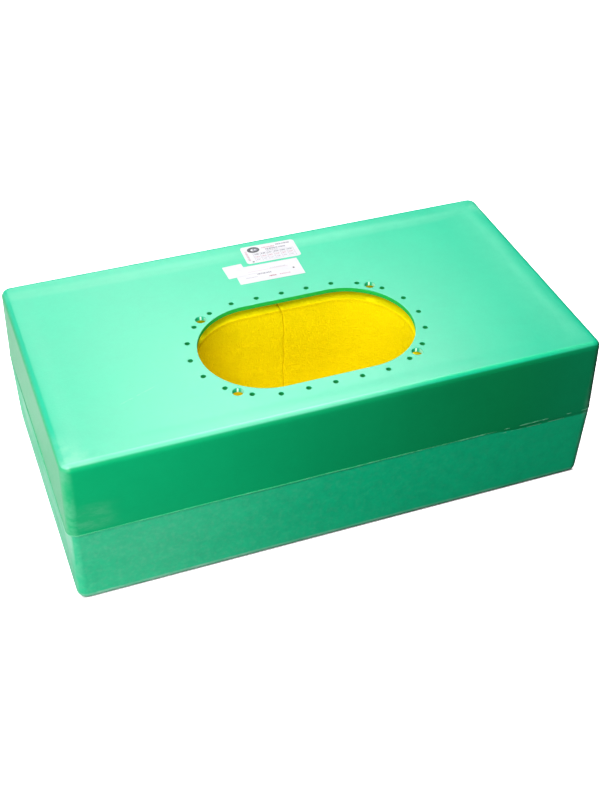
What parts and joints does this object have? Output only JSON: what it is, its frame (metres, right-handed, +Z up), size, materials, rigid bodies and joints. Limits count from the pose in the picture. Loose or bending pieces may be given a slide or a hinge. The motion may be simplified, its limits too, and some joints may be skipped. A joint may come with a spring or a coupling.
{
  "type": "fuel cell bladder",
  "caption": "Rectangular moulded tank with an oblong bolted fill opening in its top and open-cell baffle foam inside.",
  "frame": {"origin": "centre of the tank's base", "axes": "+Z up, +X along the tank's length, -Y towards the side that the fill opening lies nearer to"},
  "size_m": [0.6264, 0.3388, 0.1989],
  "materials": {
    "shell_plastic": "semi-gloss moulded polymer, pale mint green where light glances off it, milky below the parting line",
    "label_film": "white printed label film, satin",
    "baffle_foam": "yellow open-cell reticulated polyurethane foam, matt"
  },
  "bodies": {
    "root": {"bladder_shell": "shell_plastic", "certificate_label": "label_film", "data_label": "label_film", "blank_label": "label_film", "foam_left": "baffle_foam", "foam_right": "baffle_foam", "foam_floor_left": "baffle_foam", "foam_floor_right": "baffle_foam"}
  },
  "joints": []
}
